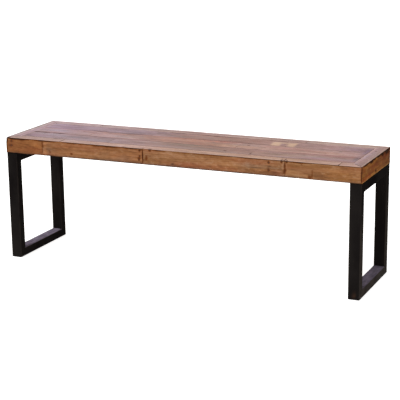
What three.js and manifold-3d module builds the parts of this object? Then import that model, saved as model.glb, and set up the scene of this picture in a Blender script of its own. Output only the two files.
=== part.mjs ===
// Entryway bench: a seat of reclaimed boards on two closed loop frames of rectangular steel tube.
// Millimetres, +X along the bench, +Y towards its back, +Z up; the origin is on the floor under its middle.
import * as THREE from "three";
import { mergeVertices } from "three/addons/utils/BufferGeometryUtils.js";
import Module from "manifold-3d";

// Overall sizes.
const BENCH_LENGTH = 1400;
const BENCH_WIDTH = 350;
const BENCH_HEIGHT = 475;
const SEAT_DEPTH = 59;

// Seat boards.
const BOARD_THICKNESS = 18;
const BORDER_WIDTH = 44;
const PLANK_ROWS = 3;
const SEAM = 0.6;
const EASED_EDGE = 0.8;

// Structure under the boards.
const PANEL_THICKNESS = 18;
const CLEAT_WIDTH = 25;
const FRAME_BATTEN_WIDTH = 80;
const MIDDLE_BATTEN_WIDTH = 60;

// Leg frames.
const TUBE_WIDTH = 43;
const TUBE_DEPTH = 32;
const TUBE_WALL = 2;
const TUBE_CORNER_RADIUS = 3;
const FRAME_INSET = 3;
const PLATE_THICKNESS = 3;
const FLANGE_WIDTH = 26;
const FLANGE_END_INSET = 22;
const GLIDE_THICKNESS = 1.5;
const GLIDE_RADIUS = 13;
const GLIDE_FROM_FRAME_END = 24;

// Fasteners.
const SCREW_SHANK_RADIUS = 2.8;
const SCREW_LENGTH = 21;
const SCREW_HEAD_RADIUS = 5.5;
const SCREW_HEAD_HEIGHT = 3;
const SCREW_SPACING = 115;
const NAIL_SHANK_RADIUS = 1.1;
const NAIL_LENGTH = 34;
const NAIL_HEAD_RADIUS = 2.2;
const NAIL_HEAD_HEIGHT = 0.9;
const NAIL_SET_DEPTH = 0.5;

// Space left between pieces that touch.
const GAP = 0.3;

// Where the boards of each run butt together, as X.
const PLANK_JOINTS = { front: [-290, 272], centre: [-415, 185], back: [-190, 332] };
const BORDER_JOINTS = { front: [-466, 617], back: [-462, 395] };
const APRON_JOINTS = { front: [-541, -122, 424], back: [-380, 215] };

// Nails in the front apron, as X and Z.
const NAILS = [
  [-676, 461],
  [-676, 445],
  [-134, 446],
  [-137, 432],
  [365, 463],
  [365, 436],
];

// Derived levels, from the floor up.
const halfLength = BENCH_LENGTH / 2;
const halfWidth = BENCH_WIDTH / 2;
const seatBottom = BENCH_HEIGHT - SEAT_DEPTH;
const boardBottom = BENCH_HEIGHT - BOARD_THICKNESS;
const panelTop = boardBottom - GAP;
const panelBottom = panelTop - PANEL_THICKNESS;
const battenTop = panelBottom - GAP;
const plateTop = seatBottom - GAP;
const plateBottom = plateTop - PLATE_THICKNESS;
const frameTop = plateBottom - GAP;
const frameBottom = GLIDE_THICKNESS + GAP;
const frameHalfDepth = halfWidth - FRAME_INSET;
const innerHalfLength = halfLength - BOARD_THICKNESS - GAP;
const innerHalfWidth = halfWidth - BOARD_THICKNESS - GAP;
const plankHalfLength = halfLength - BORDER_WIDTH - SEAM;
const plankHalfWidth = halfWidth - BORDER_WIDTH - SEAM;
const battenCentre = innerHalfLength - FRAME_BATTEN_WIDTH / 2;
const screwLine = halfLength - TUBE_WIDTH - FLANGE_WIDTH / 2;

const wasm = await Module();
wasm.setup();

const bench = new THREE.Group();
bench.name = "entryway_bench";

const WOOD_ROUGHNESS = 0.62;
const FINISHES = {
  mauve: { color: 0xab918c, roughness: WOOD_ROUGHNESS, metalness: 0 },
  grey_brown: { color: 0xa38c85, roughness: WOOD_ROUGHNESS, metalness: 0 },
  rose: { color: 0xb38d84, roughness: WOOD_ROUGHNESS, metalness: 0 },
  pale: { color: 0xc3a79d, roughness: WOOD_ROUGHNESS, metalness: 0 },
  warm_brown: { color: 0x9f6c44, roughness: WOOD_ROUGHNESS, metalness: 0 },
  red_brown: { color: 0x96623f, roughness: WOOD_ROUGHNESS, metalness: 0 },
  end_brown: { color: 0x7a4f2b, roughness: WOOD_ROUGHNESS, metalness: 0 },
  plywood: { color: 0xb89468, roughness: 0.75, metalness: 0 },
  raw_timber: { color: 0xa9855c, roughness: 0.8, metalness: 0 },
  black_steel: { color: 0x1b1a1a, roughness: 0.42, metalness: 0.1 },
  zinc: { color: 0x8c8d90, roughness: 0.4, metalness: 0.9 },
  dark_iron: { color: 0x3a2c24, roughness: 0.7, metalness: 0.6 },
  glide_plastic: { color: 0x1a1a1a, roughness: 0.6, metalness: 0 },
};

// Add one named piece to the bench.
function addPiece(name, geometry, finish) {
  const mesh = new THREE.Mesh(geometry, new THREE.MeshStandardMaterial(FINISHES[finish]));
  mesh.name = name;
  bench.add(mesh);
}

// The closed solid of a geometry, for cutting.
function solidOf(geometry) {
  const bare = geometry.clone();
  bare.deleteAttribute("normal");
  bare.deleteAttribute("uv");
  const merged = mergeVertices(bare, 1e-3);
  const vertProperties = new Float32Array(merged.attributes.position.array);
  const triVerts = new Uint32Array(merged.index.array);
  return new wasm.Manifold(new wasm.Mesh({ numProp: 3, vertProperties, triVerts }));
}

// A geometry with every tool's space taken out of it.
function cut(geometry, tools) {
  const solid = tools.reduce((rest, tool) => rest.subtract(solidOf(tool)), solidOf(geometry));
  const { vertProperties, triVerts } = solid.getMesh();
  const result = new THREE.BufferGeometry();
  result.setAttribute("position", new THREE.BufferAttribute(vertProperties, 3));
  result.setIndex(new THREE.BufferAttribute(triVerts, 1));
  const faceted = result.toNonIndexed();
  faceted.computeVertexNormals();
  return faceted;
}

// A straight piece that runs along an axis. Its section is drawn in the two axes that follow the
// run in the cycle X, Y, Z. Each end is a coordinate, or a function of the section's point.
function straightPiece(axis, section, start, end) {
  const run = "xyz".indexOf(axis);
  const geometry = new THREE.ExtrudeGeometry(section, { depth: 1, bevelEnabled: false, curveSegments: 3 });
  const position = geometry.attributes.position;
  for (let i = 0; i < position.count; i++) {
    const across = position.getX(i);
    const up = position.getY(i);
    const limit = position.getZ(i) < 0.5 ? start : end;
    const along = typeof limit === "function" ? limit(across, up) : limit;
    position.setComponent(i, run, along);
    position.setComponent(i, (run + 1) % 3, across);
    position.setComponent(i, (run + 2) % 3, up);
  }
  geometry.computeVertexNormals();
  return geometry;
}

function polygon(points) {
  return new THREE.Shape(points.map(([a, b]) => new THREE.Vector2(a, b)));
}

function rectangle(lowA, lowB, highA, highB) {
  return polygon([[lowA, lowB], [highA, lowB], [highA, highB], [lowA, highB]]);
}

// The same section seen from the other side of its first axis.
function mirrored(points) {
  return points.map(([a, b]) => [-a, b]).reverse();
}

// The same section drawn with its two axes exchanged.
function exchanged(points) {
  return points.map(([a, b]) => [b, a]).reverse();
}

// The lengths between successive joints, a seam apart.
function lengthsBetween(first, joints, last) {
  const starts = [first, ...joints.map((x) => x + SEAM / 2)];
  const ends = [...joints.map((x) => x - SEAM / 2), last];
  return starts.map((start, i) => [start, ends[i]]);
}

// Ends that follow the corner mitres, where the distances from both centre lines differ equally.
const cornerOffset = halfLength - halfWidth;
const cornerX = (y) => cornerOffset + Math.abs(y) - SEAM / 2;
const cornerY = (x) => Math.abs(x) - cornerOffset - SEAM / 2;

// A cut nail as radius and depth from its head's face. With slack it is the hole for the nail, open
// at the board's surface.
function nailProfile(slack) {
  const head = NAIL_HEAD_RADIUS + slack;
  const shank = NAIL_SHANK_RADIUS + slack;
  return [
    [0, slack ? -2 : 0],
    [head, slack ? -2 : 0],
    [head, NAIL_HEAD_HEIGHT + slack],
    [shank, NAIL_HEAD_HEIGHT + slack],
    [shank, NAIL_LENGTH - 3 + slack],
    [0, NAIL_LENGTH + slack],
  ];
}

// A solid of revolution about Y from radii and heights.
function turned(profile, segments) {
  const points = profile.map(([radius, height]) => new THREE.Vector2(radius, height));
  return new THREE.LatheGeometry([...points, points[0].clone()], segments);
}

// A nail driven into the front apron, or its hole.
function nailAt([x, z], slack) {
  return turned(nailProfile(slack), 12).translate(x, NAIL_SET_DEPTH - halfWidth, z);
}

// A pan-head screw driven up through a plate's flange, or its hole.
function screwAt(x, y, slack) {
  const shank = SCREW_SHANK_RADIUS + slack;
  const profile = [
    [0, -SCREW_HEAD_HEIGHT],
    [SCREW_HEAD_RADIUS - 1.4, -SCREW_HEAD_HEIGHT],
    [SCREW_HEAD_RADIUS, 1.2 - SCREW_HEAD_HEIGHT],
    [SCREW_HEAD_RADIUS, 0],
    [shank, 0],
    [shank, SCREW_LENGTH - 3 + slack],
    [0, SCREW_LENGTH + slack],
  ];
  return turned(profile, 20).rotateX(Math.PI / 2).translate(x, y, plateBottom - GAP);
}

const SIDES = { left: -1, right: 1 };
const nailHoles = NAILS.map((place) => nailAt(place, GAP));
const screwHoles = [];
for (const sign of Object.values(SIDES)) {
  for (const row of [-1, 0, 1]) screwHoles.push(screwAt(sign * screwLine, row * SCREW_SPACING, GAP));
}

// Centre planks: rows laid lengthwise inside the border, with eased top edges.
const rowPitch = (2 * plankHalfWidth + SEAM) / PLANK_ROWS;
const plankFinishes = {
  front: ["mauve", "grey_brown", "mauve"],
  centre: ["mauve", "rose", "grey_brown"],
  back: ["grey_brown", "rose", "mauve"],
};
Object.keys(PLANK_JOINTS).forEach((row, rowIndex) => {
  const lowY = -plankHalfWidth + rowIndex * rowPitch;
  const highY = lowY + rowPitch - SEAM;
  const section = polygon([
    [lowY, boardBottom],
    [highY, boardBottom],
    [highY, BENCH_HEIGHT - EASED_EDGE],
    [highY - EASED_EDGE, BENCH_HEIGHT],
    [lowY + EASED_EDGE, BENCH_HEIGHT],
    [lowY, BENCH_HEIGHT - EASED_EDGE],
  ]);
  const lengths = lengthsBetween(-plankHalfLength, PLANK_JOINTS[row], plankHalfLength);
  ["left", "middle", "right"].forEach((place, i) => {
    const geometry = straightPiece("x", section, ...lengths[i]);
    addPiece(`plank_${row}_${place}`, geometry, plankFinishes[row][i]);
  });
});

// Border boards: flush with the planks, mitred at the corners, bevelled down to the apron.
const bevelSlack = GAP * Math.SQRT2;
function borderSection(outer) {
  const inner = outer - BORDER_WIDTH;
  return [
    [inner, boardBottom],
    [outer - BOARD_THICKNESS - bevelSlack, boardBottom],
    [outer - bevelSlack, BENCH_HEIGHT],
    [inner + EASED_EDGE, BENCH_HEIGHT],
    [inner, BENCH_HEIGHT - EASED_EDGE],
  ];
}

// Apron boards: the seat's deep edge, bevelled at the top under the border's outer edge.
function apronSection(outer) {
  return [
    [outer - BOARD_THICKNESS, seatBottom],
    [outer, seatBottom],
    [outer, BENCH_HEIGHT - bevelSlack],
    [outer - BOARD_THICKNESS, boardBottom - bevelSlack],
  ];
}

// A run of boards along the front or the back, its first and last ends mitred.
function longRun(sideSign, section, joints, addBoard) {
  const points = sideSign < 0 ? mirrored(section) : section;
  const lengths = lengthsBetween((y) => -cornerX(y), joints, cornerX);
  lengths.forEach(([start, end], i) => addBoard(straightPiece("x", polygon(points), start, end), i));
}

// One mitred board across the left or the right end.
function endBoard(sideSign, section) {
  const points = exchanged(sideSign < 0 ? mirrored(section) : section);
  return straightPiece("y", polygon(points), (z, x) => -cornerY(x), (z, x) => cornerY(x));
}

const borderNames = ["left", "middle", "right"];
const borderFinishes = { front: ["pale", "pale", "pale"], back: ["grey_brown", "mauve", "grey_brown"] };
const apronFinishes = {
  front: ["red_brown", "warm_brown", "warm_brown", "warm_brown"],
  back: ["warm_brown", "red_brown", "warm_brown"],
};
for (const [side, sign] of [["front", -1], ["back", 1]]) {
  longRun(sign, borderSection(halfWidth), BORDER_JOINTS[side], (board, i) => {
    addPiece(`border_${side}_${borderNames[i]}`, cut(board, nailHoles), borderFinishes[side][i]);
  });
  longRun(sign, apronSection(halfWidth), APRON_JOINTS[side], (board, i) => {
    addPiece(`apron_${side}_${i + 1}`, cut(board, nailHoles), apronFinishes[side][i]);
  });
}
for (const [side, sign] of Object.entries(SIDES)) {
  addPiece(`border_end_${side}`, cut(endBoard(sign, borderSection(halfLength)), nailHoles), "pale");
  addPiece(`apron_end_${side}`, cut(endBoard(sign, apronSection(halfLength)), nailHoles), "end_brown");
}
NAILS.forEach((place, i) => addPiece(`apron_nail_${i + 1}`, nailAt(place, 0), "dark_iron"));

// Core panel under the boards, and the cleats and battens under the panel.
const panelSection = rectangle(-innerHalfWidth, panelBottom, innerHalfWidth, panelTop);
const panel = straightPiece("x", panelSection, -innerHalfLength, innerHalfLength);
addPiece("core_panel", cut(panel, nailHoles), "plywood");

const cleatFrom = innerHalfWidth - CLEAT_WIDTH;
for (const [side, sign] of [["front", -1], ["back", 1]]) {
  const [low, high] = [sign * cleatFrom, sign * innerHalfWidth].sort((a, b) => a - b);
  const section = rectangle(low, seatBottom, high, battenTop);
  const cleat = straightPiece("x", section, -innerHalfLength, innerHalfLength);
  addPiece(`cleat_${side}`, cut(cleat, nailHoles), "raw_timber");
}

const battenHalfLength = cleatFrom - GAP;
function batten(centre, width) {
  const section = rectangle(seatBottom, centre - width / 2, battenTop, centre + width / 2);
  return cut(straightPiece("y", section, -battenHalfLength, battenHalfLength), screwHoles);
}
addPiece("frame_batten_left", batten(-battenCentre, FRAME_BATTEN_WIDTH), "raw_timber");
addPiece("frame_batten_right", batten(battenCentre, FRAME_BATTEN_WIDTH), "raw_timber");
addPiece("middle_batten", batten(0, MIDDLE_BATTEN_WIDTH), "raw_timber");

// A rectangle with rounded corners, as a closed path.
function roundedPath(path, lowA, lowB, highA, highB, radius) {
  path.moveTo(lowA + radius, lowB);
  path.lineTo(highA - radius, lowB);
  path.absarc(highA - radius, lowB + radius, radius, -Math.PI / 2, 0, false);
  path.lineTo(highA, highB - radius);
  path.absarc(highA - radius, highB - radius, radius, 0, Math.PI / 2, false);
  path.lineTo(lowA + radius, highB);
  path.absarc(lowA + radius, highB - radius, radius, Math.PI / 2, Math.PI, false);
  path.lineTo(lowA, lowB + radius);
  path.absarc(lowA + radius, lowB + radius, radius, Math.PI, 1.5 * Math.PI, false);
  return path;
}

// The section of a tube with an open bore.
function tubeSection(lowA, lowB, highA, highB) {
  const shape = roundedPath(new THREE.Shape(), lowA, lowB, highA, highB, TUBE_CORNER_RADIUS);
  const bore = [lowA + TUBE_WALL, lowB + TUBE_WALL, highA - TUBE_WALL, highB - TUBE_WALL];
  shape.holes.push(roundedPath(new THREE.Path(), ...bore, TUBE_CORNER_RADIUS - TUBE_WALL));
  return shape;
}

// The right-hand plate seen from above: as wide as the tube, with a shorter flange on its inner side.
const tubeInnerX = halfLength - TUBE_WIDTH;
const flangeHalfDepth = frameHalfDepth - FLANGE_END_INSET;
const plateOutline = [
  [halfLength, -frameHalfDepth],
  [halfLength, frameHalfDepth],
  [tubeInnerX, frameHalfDepth],
  [tubeInnerX, flangeHalfDepth],
  [tubeInnerX - FLANGE_WIDTH, flangeHalfDepth],
  [tubeInnerX - FLANGE_WIDTH, -flangeHalfDepth],
  [tubeInnerX, -flangeHalfDepth],
  [tubeInnerX, -frameHalfDepth],
];

// Leg frames: four mitred tubes in a loop across the bench, a plate on top and glides underneath.
for (const [side, sign] of Object.entries(SIDES)) {
  const [lowX, highX] = [sign * halfLength, sign * tubeInnerX].sort((a, b) => a - b);
  const weldSlack = GAP / 2;
  const railEnd = (z) => frameHalfDepth - Math.min(z - frameBottom, frameTop - z) - weldSlack;
  const postInset = (y) => frameHalfDepth - Math.abs(y) + weldSlack;
  for (const [level, low, high] of [
    ["top", frameTop - TUBE_DEPTH, frameTop],
    ["bottom", frameBottom, frameBottom + TUBE_DEPTH],
  ]) {
    const section = tubeSection(low, lowX, high, highX);
    const rail = straightPiece("y", section, (z) => -railEnd(z), railEnd);
    addPiece(`${side}_${level}_rail`, rail, "black_steel");
  }
  for (const [place, low, high] of [
    ["front", -frameHalfDepth, TUBE_DEPTH - frameHalfDepth],
    ["back", frameHalfDepth - TUBE_DEPTH, frameHalfDepth],
  ]) {
    const section = tubeSection(lowX, low, highX, high);
    const bottom = (x, y) => frameBottom + postInset(y);
    const top = (x, y) => frameTop - postInset(y);
    addPiece(`${side}_${place}_post`, straightPiece("z", section, bottom, top), "black_steel");
  }

  const outline = sign < 0 ? mirrored(plateOutline) : plateOutline;
  const plate = straightPiece("z", polygon(outline), plateBottom, plateTop);
  addPiece(`${side}_mounting_plate`, cut(plate, screwHoles), "black_steel");
  [-1, 0, 1].forEach((row, i) => {
    addPiece(`${side}_frame_screw_${i + 1}`, screwAt(sign * screwLine, row * SCREW_SPACING, 0), "zinc");
  });

  for (const [place, ySign] of [["front", -1], ["back", 1]]) {
    const glide = new THREE.CylinderGeometry(GLIDE_RADIUS, GLIDE_RADIUS, GLIDE_THICKNESS, 32);
    glide.rotateX(Math.PI / 2);
    const x = sign * (halfLength - TUBE_WIDTH / 2);
    const y = ySign * (frameHalfDepth - GLIDE_FROM_FRAME_END);
    addPiece(`${side}_${place}_glide`, glide.translate(x, y, GLIDE_THICKNESS / 2), "glide_plastic");
  }
}

export default bench;
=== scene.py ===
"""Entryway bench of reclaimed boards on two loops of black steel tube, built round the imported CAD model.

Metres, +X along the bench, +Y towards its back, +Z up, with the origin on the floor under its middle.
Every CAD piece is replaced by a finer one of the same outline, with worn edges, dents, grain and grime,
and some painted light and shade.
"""

import math
import random
from collections import namedtuple

import bpy
import numpy as np
from mathutils import Matrix, Vector


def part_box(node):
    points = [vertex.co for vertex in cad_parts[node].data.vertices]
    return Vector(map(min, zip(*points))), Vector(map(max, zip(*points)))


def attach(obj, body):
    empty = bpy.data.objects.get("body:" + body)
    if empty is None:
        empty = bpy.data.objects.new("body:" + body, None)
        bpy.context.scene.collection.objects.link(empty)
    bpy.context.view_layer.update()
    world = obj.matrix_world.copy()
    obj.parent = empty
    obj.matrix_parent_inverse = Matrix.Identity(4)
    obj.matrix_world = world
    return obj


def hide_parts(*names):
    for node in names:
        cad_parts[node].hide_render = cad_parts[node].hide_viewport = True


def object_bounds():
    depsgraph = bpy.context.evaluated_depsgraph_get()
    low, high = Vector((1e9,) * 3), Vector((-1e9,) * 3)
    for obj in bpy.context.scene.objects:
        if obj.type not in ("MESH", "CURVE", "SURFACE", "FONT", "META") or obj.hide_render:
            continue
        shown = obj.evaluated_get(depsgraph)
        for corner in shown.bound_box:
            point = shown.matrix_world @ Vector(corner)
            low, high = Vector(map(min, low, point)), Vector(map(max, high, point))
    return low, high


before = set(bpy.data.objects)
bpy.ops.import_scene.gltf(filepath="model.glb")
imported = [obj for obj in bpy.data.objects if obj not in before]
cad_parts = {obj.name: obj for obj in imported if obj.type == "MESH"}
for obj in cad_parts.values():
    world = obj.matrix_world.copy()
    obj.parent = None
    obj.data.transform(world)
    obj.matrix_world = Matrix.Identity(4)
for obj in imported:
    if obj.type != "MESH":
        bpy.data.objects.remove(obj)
cad_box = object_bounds()

MM = 0.001
HALF_LENGTH, HALF_WIDTH, TOP = cad_box[1]


# --- Camera and light ----------------------------------------------------------------------------

CAMERA_AZIMUTH = math.radians(24.145)
CAMERA_ELEVATION = math.radians(14.596)
CAMERA_ROLL = math.radians(-0.68)
CAMERA_DISTANCE = 4.7108
CAMERA_SIDESTEP = 0.0228
CAMERA_RISE = 0.0143
CAMERA_LENS = 113.36
SENSOR_WIDTH = 36.0

FILL_IN_FRONT, FILL_BEHIND = 0.52, 0.92
FILL_COLOUR = (1.0, 0.94, 0.91, 1)

KEY_PLACE = (-2.2, -3.2, 3.4)
KEY_STRENGTH = 3.9
KEY_SPREAD = math.radians(60)
KEY_COLOUR = (1.0, 0.98, 0.96)

SOFTBOX_PLACE, SOFTBOX_TARGET = (-5.6, 6.0, 1.9), (-0.7, 0, 0.4)
SOFTBOX_WIDTH, SOFTBOX_HEIGHT = 4.6, 3.0
SOFTBOX_WATTS = 30
SOFTBOX_COLOUR = (0.55, 0.62, 1.0)


def place_camera():
    """The camera looks past the bench's middle from the front right, rolled by less than a degree."""
    az, el = CAMERA_AZIMUTH, CAMERA_ELEVATION
    back = Vector((math.sin(az) * math.cos(el), -math.cos(az) * math.cos(el), math.sin(el)))
    level = Vector((math.cos(az), math.sin(az), 0))
    upright = back.cross(level)
    right = math.cos(CAMERA_ROLL) * level + math.sin(CAMERA_ROLL) * upright
    up = math.cos(CAMERA_ROLL) * upright - math.sin(CAMERA_ROLL) * level
    place = Vector((0, 0, TOP / 2)) + right * CAMERA_SIDESTEP + up * CAMERA_RISE + back * CAMERA_DISTANCE
    data = bpy.data.cameras.new("camera")
    data.lens, data.sensor_width = CAMERA_LENS, SENSOR_WIDTH
    data.clip_end = 200
    camera = bpy.data.objects.new("camera", data)
    camera.matrix_world = Matrix.Translation(place) @ Matrix((right, up, back)).transposed().to_4x4()
    bpy.context.collection.objects.link(camera)
    bpy.context.scene.camera = camera


def place_light(name, data, place, target):
    light = bpy.data.objects.new(name, data)
    light.location = place
    light.rotation_euler = (Vector(target) - Vector(place)).to_track_quat("-Z", "Y").to_euler()
    light.visible_camera = False
    bpy.context.collection.objects.link(light)


def light_studio():
    """A broad soft key from the front left, and a low cool softbox behind.

    The surroundings give the fill, brighter from behind, and are plain white where the camera sees them.
    """
    world = bpy.data.worlds.new("studio")
    bpy.context.scene.world = world
    world.use_nodes = True
    tree = world.node_tree
    direction = tree.nodes.new("ShaderNodeSeparateXYZ")
    tree.links.new(tree.nodes.new("ShaderNodeTexCoord").outputs["Generated"], direction.inputs[0])
    strength = tree.nodes.new("ShaderNodeMapRange")
    limits = {"From Min": -0.2, "From Max": 0.9, "To Min": FILL_IN_FRONT, "To Max": FILL_BEHIND}
    for name, value in limits.items():
        strength.inputs[name].default_value = value
    tree.links.new(direction.outputs["Y"], strength.inputs["Value"])
    fill = tree.nodes["Background"]
    tree.links.new(strength.outputs["Result"], fill.inputs["Strength"])
    fill.inputs["Color"].default_value = FILL_COLOUR
    backdrop = tree.nodes.new("ShaderNodeBackground")
    backdrop.inputs["Color"].default_value = (1, 1, 1, 1)
    seen = tree.nodes.new("ShaderNodeMixShader")
    tree.links.new(tree.nodes.new("ShaderNodeLightPath").outputs["Is Camera Ray"], seen.inputs["Fac"])
    tree.links.new(fill.outputs["Background"], seen.inputs[1])
    tree.links.new(backdrop.outputs["Background"], seen.inputs[2])
    tree.links.new(seen.outputs["Shader"], tree.nodes["World Output"].inputs["Surface"])

    key = bpy.data.lights.new("key_light", "SUN")
    key.energy = KEY_STRENGTH
    key.angle = KEY_SPREAD
    key.color = KEY_COLOUR
    place_light("key_light", key, KEY_PLACE, (0, 0, 0))

    softbox = bpy.data.lights.new("sheen_light", "AREA")
    softbox.shape = "RECTANGLE"
    softbox.size, softbox.size_y = SOFTBOX_WIDTH, SOFTBOX_HEIGHT
    softbox.energy = SOFTBOX_WATTS
    softbox.color = SOFTBOX_COLOUR
    place_light("sheen_light", softbox, SOFTBOX_PLACE, SOFTBOX_TARGET)

    bpy.context.scene.view_settings.view_transform = "Standard"
    bpy.context.scene.view_settings.look = "None"


# --- Node materials ------------------------------------------------------------------------------

def linear(hex_colour):
    """A colour written as RRGGBB, as the linear numbers that Blender takes."""
    values = [int(hex_colour[i:i + 2], 16) / 255 for i in (0, 2, 4)]
    return tuple(v / 12.92 if v <= 0.04045 else ((v + 0.055) / 1.055) ** 2.4 for v in values) + (1.0,)


class Nodes:
    """A material under construction, with short names for the nodes that it uses most."""

    def __init__(self, name):
        self.material = bpy.data.materials.new(name)
        self.material.use_nodes = True
        self.tree = self.material.node_tree
        self.shader = self.tree.nodes["Principled BSDF"]

    def node(self, kind, **settings):
        made = self.tree.nodes.new(kind)
        for key, value in settings.items():
            setattr(made, key, value)
        return made

    def feed(self, socket, value):
        """Link a socket to another, or set it to a plain value."""
        if isinstance(value, bpy.types.NodeSocket):
            self.tree.links.new(value, socket)
        else:
            socket.default_value = value

    def attribute(self, name, output="Fac"):
        return self.node("ShaderNodeAttribute", attribute_name=name).outputs[output]

    def position(self):
        return self.node("ShaderNodeTexCoord").outputs["Object"]

    def maths(self, operation, a, b=0.0, c=0.0, clamp=False):
        made = self.node("ShaderNodeMath", operation=operation, use_clamp=clamp)
        for socket, value in zip(made.inputs, (a, b, c)):
            self.feed(socket, value)
        return made.outputs[0]

    def scaled(self, vector, factors):
        made = self.node("ShaderNodeVectorMath", operation="MULTIPLY")
        self.feed(made.inputs[0], vector)
        made.inputs[1].default_value = factors
        return made.outputs[0]

    def noise(self, vector, factors, detail=3.0, roughness=0.55):
        """Fractal noise between 0 and 1, with its own scale in each direction."""
        made = self.node("ShaderNodeTexNoise")
        self.feed(made.inputs["Vector"], self.scaled(vector, factors))
        made.inputs["Scale"].default_value = 1.0
        made.inputs["Detail"].default_value = detail
        made.inputs["Roughness"].default_value = roughness
        return made.outputs["Fac"]

    def spread(self, value, low, high, to_low=0.0, to_high=1.0):
        """Carry low..high smoothly onto to_low..to_high, held at the ends."""
        made = self.node("ShaderNodeMapRange", interpolation_type="SMOOTHSTEP")
        self.feed(made.inputs["Value"], value)
        limits = {"From Min": low, "From Max": high, "To Min": to_low, "To Max": to_high}
        for name, limit in limits.items():
            self.feed(made.inputs[name], limit)
        return made.outputs["Result"]

    def thread(self, value, width):
        """Thin lines where a noise crosses its middle value."""
        off_middle = self.maths("ABSOLUTE", self.maths("SUBTRACT", value, 0.5))
        return self.spread(off_middle, 0.0, width, 1.0, 0.0)

    def mix(self, factor, a, b, blend="MIX"):
        made = self.node("ShaderNodeMix", data_type="RGBA", blend_type=blend)
        self.feed(made.inputs[0], factor)
        self.feed(made.inputs[6], a)
        self.feed(made.inputs[7], b)
        return made.outputs[2]

    def bump(self, height, distance, strength=1.0, under=None):
        made = self.node("ShaderNodeBump")
        made.inputs["Strength"].default_value = strength
        made.inputs["Distance"].default_value = distance
        self.feed(made.inputs["Height"], height)
        if under is not None:
            self.feed(made.inputs["Normal"], under)
        return made.outputs["Normal"]

    def finish(self, colour, roughness, normal, **constants):
        self.feed(self.shader.inputs["Base Color"], colour)
        self.feed(self.shader.inputs["Roughness"], roughness)
        self.feed(self.shader.inputs["Normal"], normal)
        for name, value in constants.items():
            self.shader.inputs[name.replace("_", " ")].default_value = value
        return self.material


# A timber's colours as RRGGBB, its shine, the strength of its growth rings and the spread of its seam
# darkening: dirt in the joints, painted shade along the long aprons' foot.
WoodLook = namedtuple("WoodLook", "pale mid dark red grey worn rim roughness specular rings dirt")
KNOT_BROWN, CRACK_BROWN = "4a2613", "2c190e"
STAIN_BROWN, DIRT_AND_SHADE_BROWN = "26150b", "24160d"
BARE_PALE, BARE_DARK = "b99778", "9c7a59"


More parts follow.
